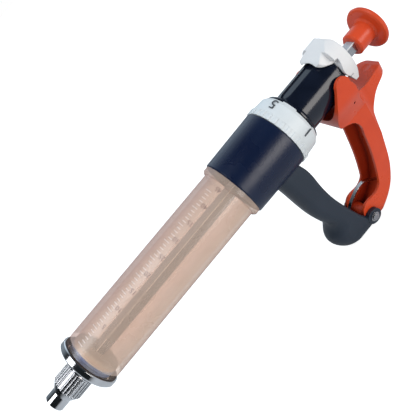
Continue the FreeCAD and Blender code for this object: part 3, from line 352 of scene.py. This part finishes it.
def grow(name, tree, values):
    # The plain mesh that a geometry tree makes from its named values
    holder = bpy.data.objects.new(name + "_grower", bpy.data.meshes.new(name + "_grower"))
    bpy.context.scene.collection.objects.link(holder)
    grower = holder.modifiers.new("grow", "NODES")
    grower.node_group = tree
    for item in tree.interface.items_tree:
        if item.in_out == "INPUT" and item.name in values:
            grower[item.identifier] = values[item.name]
    bpy.context.view_layer.update()
    seen = holder.evaluated_get(bpy.context.evaluated_depsgraph_get())
    mesh = bpy.data.meshes.new_from_object(seen)
    mesh.name = name
    holder.modifiers.clear()
    bpy.data.objects.remove(holder)
    return mesh


def numeral(text, height, thickness, wide=1.0):
    # Figures as a thin solid, flat, centred on the origin, in millimetres, drawn wider or narrower, and
    # cut into strips so that they can bend
    curve = bpy.data.curves.new("numeral", "FONT")
    curve.body = text
    curve.align_x = "CENTER"
    curve.align_y = "CENTER"
    curve.size = height / FIGURE_SHARE
    curve.extrude = thickness / 2
    curve.resolution_u = 4
    holder = bpy.data.objects.new("numeral", curve)
    bpy.context.scene.collection.objects.link(holder)
    bpy.context.view_layer.update()
    mesh = bpy.data.meshes.new_from_object(holder.evaluated_get(bpy.context.evaluated_depsgraph_get()))
    bpy.data.objects.remove(holder)
    shape = bmesh.new()
    shape.from_mesh(mesh)
    bmesh.ops.remove_doubles(shape, verts=shape.verts, dist=1e-5)
    reach = height * 0.75 * len(text)
    cut = -reach
    while cut < reach:
        every = shape.verts[:] + shape.edges[:] + shape.faces[:]
        bmesh.ops.bisect_plane(shape, geom=every, plane_co=(cut, 0, 0), plane_no=(1, 0, 0), dist=1e-5)
        cut += STRIP_WIDTH
    low = min(v.co.y for v in shape.verts)
    high = max(v.co.y for v in shape.verts)
    for v in shape.verts:
        v.co.x *= wide
        v.co.y -= (low + high) / 2
    return shape


def wrap_numeral(text, x, angle, radius, height, thickness, wide=1.0):
    # Figures round the barrel axis with their tops towards the needle
    shape = numeral(text, height, thickness, wide)
    for v in shape.verts:
        turn = angle + v.co.x / radius
        reach = radius + v.co.z
        v.co = Vector((x - v.co.y, -reach * math.cos(turn), reach * math.sin(turn))) * MM
    mesh = bpy.data.meshes.new("numeral_" + text)
    shape.to_mesh(mesh)
    shape.free()
    return mesh


def joined(name, meshes):
    # Several meshes as one
    shape = bmesh.new()
    for mesh in meshes:
        shape.from_mesh(mesh)
        bpy.data.meshes.remove(mesh)
    whole = bpy.data.meshes.new(name)
    shape.to_mesh(whole)
    shape.free()
    return whole


def amber_wall(name, color, clear, outer, inner, split, rim_and_shade_color, wet_end=0.0, gleam=0.05):
    # Frosted plastic that lets part of the light straight through, clearer on its inner wall, deeper at its
    # rims, darker towards the back (+Y) with painted shade, and clearest in front of wet_end, where the
    # piston's face touches the wall
    mat = bpy.data.materials.new(name)
    mat.use_nodes = True
    tree = mat.node_tree
    bsdf = tree.nodes["Principled BSDF"]
    marks = put(tree, "ShaderNodeGroup", {"Size": 0.02, "Scratch": 0.25}, node_tree=EFFECTS["handling_marks"])
    skin = put(tree, "ShaderNodeGroup", {"Size": 0.0009, "Depth": 0.06}, node_tree=EFFECTS["moulded_grain"])
    film = marks.outputs["Film"]
    parts = split_place(tree)
    flat = put(tree, "ShaderNodeCombineXYZ", {"X": parts["Y"], "Y": parts["Z"]})
    reach = put(tree, "ShaderNodeVectorMath", {0: flat.outputs[0]}, operation="LENGTH")
    inside = calc(tree, "LESS_THAN", reach.outputs["Value"], split * MM)
    facing = put(tree, "ShaderNodeLayerWeight", {"Blend": 0.35}).outputs["Facing"]
    # Painted shade: the wall's colour and its see-through tint darken towards the back (+Y), where less light
    # falls
    rear = ramp(tree, parts["Y"], -6.5 * MM, 2.0 * MM, 0.0, 0.8, soft=True)
    rim_and_painted_shade = calc(tree, "MAXIMUM", ramp(tree, facing, 0.25, 0.8), rear)
    filmed = mixed(tree, film, color, (color[0] * 0.95, color[1] * 0.9, color[2] * 0.86))
    rough = ramp(tree, film, 0.0, 1.0, 0.2, 0.3)
    tree.links.new(mixed(tree, rim_and_painted_shade, filmed, rim_and_shade_color), bsdf.inputs["Base Color"])
    tree.links.new(rough, bsdf.inputs["Roughness"])
    tree.links.new(skin.outputs["Normal"], bsdf.inputs["Normal"])
    bsdf.inputs["Specular IOR Level"].default_value = 0.0
    painted_shade_clear = mixed(tree, rear, clear, (clear[0] * 0.88, clear[1] * 0.82, clear[2] * 0.83))
    through = put(tree, "ShaderNodeBsdfTransparent", {"Color": painted_shade_clear})
    body = ramp(tree, facing, 0.0, 1.0, outer, 0.9)
    share = put(tree, "ShaderNodeMix", {"Factor": inside, "A": body, "B": inner})
    wet = ramp(tree, parts["X"], (wet_end - 0.2) * MM, (wet_end + 0.2) * MM, 0.2, 1.0)
    veil = calc(tree, "MULTIPLY", share.outputs["Result"], wet)
    # The frost scatters light inwards, so it shades what is inside less than it hides it
    path = put(tree, "ShaderNodeLightPath")
    lit = ramp(tree, path.outputs["Is Shadow Ray"], 0.0, 1.0, 1.0, 0.3)
    wall = put(tree, "ShaderNodeMixShader", {"Fac": calc(tree, "MULTIPLY", veil, lit),
                                             1: through.outputs[0], 2: bsdf.outputs[0]})
    # The polished outer face mirrors the lamps, less so at its rims
    shine = ramp(tree, facing, 0.3, 0.8, gleam, 0.01)
    mirror = calc(tree, "MULTIPLY", shine, calc(tree, "SUBTRACT", 1.0, inside))
    gloss = put(tree, "ShaderNodeBsdfGlossy", {"Roughness": rough, "Normal": skin.outputs["Normal"]})
    coated = put(tree, "ShaderNodeMixShader", {"Fac": mirror, 1: wall.outputs[0], 2: gloss.outputs[0]})
    tree.links.new(coated.outputs[0], tree.nodes["Material Output"].inputs["Surface"])
    return mat


amber = amber_wall("amber_barrel", (0.78, 0.61, 0.50), (0.96, 0.89, 0.83), 0.32, 0.1, BORE_SPLIT,
                   (0.5, 0.35, 0.31), wet_end=30.0)
scale_amber = amber_wall("amber_scale", (0.80, 0.69, 0.63), (0.95, 0.9, 0.86), 0.7, 0.7, 1.0,
                         (0.72, 0.6, 0.56))
number_amber = amber_wall("amber_numbers", (0.30, 0.21, 0.19), (0.9, 0.8, 0.75), 0.8, 0.8, 1.0,
                          (0.3, 0.2, 0.18))
dress(amber, "barrel")

ticks = grow("barrel_ticks", scale_lines(), {
    "Lines": SCALE_LINES, "Pitch": TICK_PITCH * MM, "Start": SCALE_START * MM, "Width": 0.5 * MM,
    "Short": 2.4 * MM, "Long": 3.5 * MM, "Height": 0.16 * MM, "Radius": (BARREL_R - TICK_SUNK) * MM,
    "Angle": math.radians(TICK_ANGLE), "Material": scale_amber})
fix_on("barrel_ticks", ticks, "housing")

numbers = []
for count in range(5, SCALE_LINES, 5):
    number_x = SCALE_START + count * TICK_PITCH + FIGURE_BEHIND
    numbers.append(wrap_numeral(str(count), number_x, math.radians(FIGURE_ANGLE), BARREL_R,
                                FIGURE_HEIGHT, 0.2))
fix_on("barrel_numbers", joined("barrel_numbers", numbers), "housing", number_amber)


# Piston
# Two plates clamp a blue seal with a pale rear lip to the end of the rod with a slotted screw. The seal
# shows through the barrel as a bluish band behind the chrome, with a painted highlight line at its end.

BLUE_END = 29.0
HIGHLIGHT_LINE_END = 29.4

blue = finish("piston_blue", (0.16, 0.30, 0.80), 0.3, film_color=(0.42, 0.6, 0.86), film_size=0.008)


def banded_seal():
    # Blue up to its groove, then a painted highlight line, then pale
    mat = blue.copy()
    mat.name = "piston_seal"
    tree = mat.node_tree
    bsdf = tree.nodes["Principled BSDF"]
    front = bsdf.inputs["Base Color"].links[0].from_socket
    along = split_place(tree)["X"]
    # Painted highlight: a near-white band just behind BLUE_END stands in for light caught on the seal's edge
    edge = mixed(tree, calc(tree, "GREATER_THAN", along, BLUE_END * MM), front, (1.0, 0.92, 0.85))
    lip = mixed(tree, calc(tree, "GREATER_THAN", along, HIGHLIGHT_LINE_END * MM), edge, (0.66, 0.55, 0.47))
    tree.links.new(lip, bsdf.inputs["Base Color"])
    return mat


natural = finish("natural_plastic", (0.62, 0.6, 0.55), 0.4)
steel = finish("steel", (0.56, 0.56, 0.58), 0.2, film_color=(0.45, 0.45, 0.47), film_size=0.004,
               edge_wear_highlight_color=(0.75, 0.75, 0.76), edge=0.15, Metallic=1.0)
dress(blue, "piston_front")
dress(natural, "piston_rear")
dress(banded_seal(), "piston_seal")
dress(steel, "piston_screw")


# Sleeve
# The dark moulded housing that the barrel, the grip and the dose ring are fixed to. It is navy black
# with a fine spark-eroded grain, and is left bare of lettering.

navy = finish("sleeve_navy", (0.0015, 0.006, 0.028), 0.24, film_color=(0.002, 0.009, 0.036), film_size=0.02,
              edge_wear_highlight_color=(0.02, 0.025, 0.04), edge=0.35, grain=(0.4, 0.6), Specular_IOR_Level=0.42)
dress(navy, "sleeve_housing")


# Guide bush, brake ring and detent
# A square plastic bush keeps the rod from turning, a rubber ring holds it while the carriage runs back,
# and a sprung ball clicks the dose ring into its five places. All are inside the sleeve.

dress(natural, "guide_bush")
dress(rubber, "brake_ring")
dress(steel, "detent_ball", "detent_spring")


# Dose ring
# A white moulded ring that turns on the sleeve's neck, with raised bars at its front edge and the doses
# 1 to 5 printed round it. Steps inside it stop the carriage at the dose that is set.

RING_R = 17.9
DOSES = 5
DOSE_X = 176.0
DOSE_ANGLE = 3.0
DOSE_HEIGHT = 4.9
DOSE_WIDE = 1.2

white = finish("ring_white", (0.72, 0.73, 0.73), 0.36, film_color=(0.66, 0.67, 0.66), film_size=0.016,
               edge_wear_highlight_color=(0.8, 0.81, 0.82), edge=0.25, grain=(0.25, 0.05))
ink = finish("dose_ink", (0.055, 0.058, 0.065), 0.5, film_color=(0.075, 0.078, 0.085), film_size=0.002,
             edge=0.02)
dress(white, "dose_ring")

doses = []
for place in range(DOSES):
    turn = math.radians(DOSE_ANGLE - 360 / DOSES * place)
    doses.append(wrap_numeral(str(place + 1), DOSE_X, turn, RING_R, DOSE_HEIGHT, 0.16, DOSE_WIDE))
fix_on("dose_numbers", joined("dose_numbers", doses), "dose_dial", ink)


# Bezel and carriage
# A black ring keeps the dose ring on. Through it runs the glossy black tube that the lever pushes
# forward, closed by an end plug, with a flat groove along its top.

gloss = finish("tube_gloss", (0.003, 0.005, 0.012), 0.12, film_color=(0.006, 0.009, 0.02), film_size=0.01,
               edge_wear_highlight_color=(0.02, 0.022, 0.03), edge=0.25, grain=(0.35, 0.05), scratch=0.6, rough_spread=0.06)
dress(gloss, "ring_bezel", "carriage_tube", "end_plug")
dress(steel, "carriage_key", "trunnion_pins", "pawl_pin", "drive_pawl", "pawl_spring", "catch_pin")


# Plunger rod and knob
# A square bright rod with a rack on its underside. The orange-red knob, a stem with a dished disc, is
# pushed on its end and held by a cross pin.

ROD_HALF = 2.8
HIGHLIGHT_WIDTH = 0.35

orange = finish("orange_red", (0.70, 0.072, 0.018), 0.26, film_color=(0.64, 0.06, 0.016), film_size=0.015,
                edge_wear_highlight_color=(0.74, 0.12, 0.05), edge=0.35, grain=(0.6, 0.03), scratch=0.1,
                Specular_IOR_Level=0.34)
rod_steel = finish("rod_steel", (0.5, 0.5, 0.52), 0.2, film_color=(0.42, 0.42, 0.44), film_size=0.005,
                   edge_wear_highlight_color=(0.8, 0.8, 0.8), edge=0.2, scratch=0.8, Metallic=1.0)


def light_top(mat):
    # The rod's top face is made non-metal so that it reads lighter than its sides, painted light where the
    # light falls, and its upper edges are painted white as a highlight
    tree = mat.node_tree
    bsdf = tree.nodes["Principled BSDF"]
    color = bsdf.inputs["Base Color"].links[0].from_socket
    parts = split_place(tree)
    # The upper edges within this width get a painted white highlight
    border = (ROD_HALF - HIGHLIGHT_WIDTH) * MM
    outer = calc(tree, "GREATER_THAN", calc(tree, "ABSOLUTE", parts["Y"]), border)
    upper = calc(tree, "GREATER_THAN", parts["Z"], border)
    edge = calc(tree, "MULTIPLY", outer, upper)
    place = put(tree, "ShaderNodeTexCoord")
    face = put(tree, "ShaderNodeSeparateXYZ", {"Vector": place.outputs["Normal"]})
    # Upward faces lose their metal so that they read lighter: painted light on the top
    top = calc(tree, "GREATER_THAN", face.outputs["Z"], 0.7)
    metal = ramp(tree, calc(tree, "MAXIMUM", top, edge), 0.0, 1.0, 1.0, 0.15)
    tree.links.new(mixed(tree, edge, color, (1.0, 0.97, 0.93)), bsdf.inputs["Base Color"])
    tree.links.new(metal, bsdf.inputs["Metallic"])


light_top(rod_steel)
dress(rod_steel, "plunger_rod")
dress(orange, "knob")
dress(steel, "knob_pin")


# Release catch
# A matt bluish white moulding saddled over the end of the tube. Pressed down, its fingers lift the pawl
# off the rack, so that the rod runs free.

pale = finish("catch_pale", (0.80, 0.76, 0.73), 0.5, film_color=(0.74, 0.70, 0.68), film_size=0.012,
              edge_wear_highlight_color=(0.84, 0.82, 0.8), edge=0.5, grain=(0.3, 0.08))
dress(pale, "release_catch")


# Lever
# A glossy orange-red channel moulding that turns about the pin in the grip's foot. Its two ears hold the
# carriage, and the horn behind keeps it on the hand.

SHADE_REACH = 7.0
SHADE_DEEP = (0.16, 0.004, 0.003)


def shaded_hollows(mat, name, reach, deep):
    # The same finish with its narrow hollows deepened, as light bounced inside a saturated colour is
    made = mat.copy()
    made.name = name
    tree = made.node_tree
    bsdf = tree.nodes["Principled BSDF"]
    color = bsdf.inputs["Base Color"].links[0].from_socket
    near = put(tree, "ShaderNodeAmbientOcclusion", {"Distance": reach * MM}, samples=8)
    open_share = ramp(tree, near.outputs["AO"], 0.25, 0.75)
    tree.links.new(mixed(tree, open_share, deep, color), bsdf.inputs["Base Color"])
    return made


dress(shaded_hollows(orange, "orange_lever", SHADE_REACH, SHADE_DEEP), "lever")


# Return spring
# A narrow strip of bright spring steel, screwed to the grip's foot and arched against the lever's web.

spring_steel = finish("spring_steel", (0.6, 0.6, 0.61), 0.1, film_color=(0.5, 0.5, 0.5), film_size=0.003,
                      edge_wear_highlight_color=(0.8, 0.8, 0.8), edge=0.1, scratch=0.6, Metallic=1.0)
dress(spring_steel, "leaf_spring")
dress(steel, "leaf_screw")


# Grip and its fixings
# The fixed handle is a satin slate grey moulding, screwed to the sleeve from inside. The lever's pivot is
# a domed pin through its foot, with washers and a nut.

slate = finish("grip_slate", (0.010, 0.017, 0.030), 0.4, film_color=(0.015, 0.024, 0.040), film_size=0.025,
               edge_wear_highlight_color=(0.04, 0.05, 0.06), edge=0.5, grain=(0.4, 0.12))
dress(slate, "grip")
dress(steel, "grip_screw", "pivot_pin", "pivot_washers", "pivot_nut")


# Stage
# A white floor at the tool's lowest point, a bluish room that is darker in front, a large low soft box in
# front and a smaller one overhead, and the camera of the photograph's view.

FLOOR_HALF = 3.0
FLOOR_DROP = 0.0002
FLOOR_IN_METAL = 0.12


def seen_straight(tree, path):
    # 1 for what the camera sees, also through a clear piece
    return calc(tree, "MAXIMUM", path.outputs["Is Camera Ray"], path.outputs["Is Transmission Ray"])


def floor_white():
    # White to the camera, dimmer in metal, pale to the lamps so that the shadow stays
    mat = bpy.data.materials.new("floor_white")
    mat.use_nodes = True
    tree = mat.node_tree
    bsdf = tree.nodes["Principled BSDF"]
    bsdf.inputs["Roughness"].default_value = 0.9
    bsdf.inputs["Emission Color"].default_value = (1, 1, 1, 1)
    path = put(tree, "ShaderNodeLightPath")
    mirrored = calc(tree, "MULTIPLY", path.outputs["Is Glossy Ray"], FLOOR_IN_METAL)
    shown = calc(tree, "MAXIMUM", seen_straight(tree, path), mirrored)
    place = put(tree, "ShaderNodeTexCoord")
    far = put(tree, "ShaderNodeVectorMath", {0: place.outputs["Object"]}, operation="LENGTH")
    glow = ramp(tree, far.outputs["Value"], 0.15, 0.6, 0.8, 1.0)
    pale_near = ramp(tree, far.outputs["Value"], 0.25, 0.9, 0.5, 0.15)
    tree.links.new(calc(tree, "MULTIPLY", shown, glow), bsdf.inputs["Emission Strength"])
    tree.links.new(pale_near, bsdf.inputs["Base Color"])
    return mat


def bluish_room():
    # White to the camera; light for the pieces that grows towards the back; another, with more contrast,
    # in metal and gloss
    world = bpy.data.worlds.new("room")
    world.use_nodes = True
    tree = world.node_tree
    path = put(tree, "ShaderNodeLightPath")
    seen = seen_straight(tree, path)
    place = put(tree, "ShaderNodeTexCoord")
    parts = put(tree, "ShaderNodeSeparateXYZ", {"Vector": place.outputs["Generated"]}).outputs
    behind = ramp(tree, parts["Y"], 0.1, 0.85, 0.5, 0.95, soft=True)
    above = ramp(tree, parts["Z"], 0.0, 0.9, 0.0, 0.2, soft=True)
    back_wall = ramp(tree, parts["Y"], 0.3, 0.85, 0.06, 1.2, soft=True)
    to_right = ramp(tree, parts["X"], -0.5, 0.2, 0.15, 1.0)
    unseen = put(tree, "ShaderNodeMix", {"Factor": path.outputs["Is Glossy Ray"],
                                         "A": calc(tree, "ADD", behind, above),
                                         "B": calc(tree, "MULTIPLY", back_wall, to_right)})
    level = put(tree, "ShaderNodeMix", {"Factor": seen, "A": unseen.outputs["Result"], "B": 1.0})
    back = tree.nodes["Background"]
    tree.links.new(mixed(tree, seen, (0.72, 0.87, 1.0), (1, 1, 1)), back.inputs["Color"])
    tree.links.new(level.outputs["Result"], back.inputs["Strength"])
    return world


floor_z = solid_bounds[0][2] - FLOOR_DROP
corners = [(x * FLOOR_HALF, y * FLOOR_HALF, floor_z) for x, y in ((-1, -1), (1, -1), (1, 1), (-1, 1))]
floor_mesh = bpy.data.meshes.new("floor")
floor_mesh.from_pydata(corners, [], [(0, 1, 2, 3)])
floor_mesh.materials.append(floor_white())
floor = bpy.data.objects.new("floor", floor_mesh)
bpy.context.scene.collection.objects.link(floor)
bpy.context.scene.world = bluish_room()


def soft_box(name, place, aim, width, height, power, color):
    data = bpy.data.lights.new(name, "AREA")
    data.shape = "RECTANGLE"
    data.size = width
    data.size_y = height
    data.energy = power
    data.color = color
    obj = bpy.data.objects.new(name, data)
    obj.location = place
    obj.rotation_euler = (Vector(aim) - Vector(place)).to_track_quat("-Z", "Y").to_euler()
    obj.visible_camera = False
    bpy.context.scene.collection.objects.link(obj)


soft_box("front_box", (0.52, -0.88, 0.15), (0.15, 0, 0.02), 0.75, 0.44, 5.2, (1.0, 0.96, 0.92))
soft_box("top_box", (-0.26, -0.07, 0.9), (-0.26, -0.06, 0), 0.6, 0.5, 4.2, (0.93, 0.96, 1.0))

# The view, fitted to the photograph: angles in degrees, lengths in millimetres, the lens in pixels
IMAGE_PIXELS = 420.0
FOCAL_PIXELS = 440.0
SENSOR_WIDTH = 36.0
VIEW_TILT = -3.1
VIEW_RISE = 37.0
VIEW_ROLL = -0.46
PICTURE_TURN = 49.729
VIEW_DISTANCE = 218.3
VIEW_ALONG = 119.2
VIEW_SHIFT = 2.05


def turned(first, second, degrees):
    # Two crossed directions turned in their own plane
    cos, sin = math.cos(math.radians(degrees)), math.sin(math.radians(degrees))
    return cos * first + sin * second, cos * second - sin * first


tilt, lift = math.radians(VIEW_TILT), math.radians(VIEW_RISE)
toward = Vector((math.sin(tilt), -math.cos(lift) * math.cos(tilt), math.sin(lift) * math.cos(tilt)))
along = (Vector((1, 0, 0)) - toward * toward.x).normalized()
side, rise = turned(along, toward.cross(along), VIEW_ROLL)
stand = Vector((VIEW_ALONG, 0, 0)) + VIEW_DISTANCE * toward + VIEW_SHIFT * rise
right, up = turned(side, rise, -PICTURE_TURN)
data = bpy.data.cameras.new("camera")
data.sensor_width = SENSOR_WIDTH
data.sensor_fit = "HORIZONTAL"
data.lens = SENSOR_WIDTH * FOCAL_PIXELS / IMAGE_PIXELS
data.clip_start = 0.01
camera = bpy.data.objects.new("camera", data)
bpy.context.scene.collection.objects.link(camera)
camera.matrix_world = Matrix((
    (right.x, up.x, toward.x, stand.x * MM), (right.y, up.y, toward.y, stand.y * MM),
    (right.z, up.z, toward.z, stand.z * MM), (0, 0, 0, 1)))
bpy.context.scene.camera = camera
bpy.context.scene.view_settings.view_transform = "Standard"
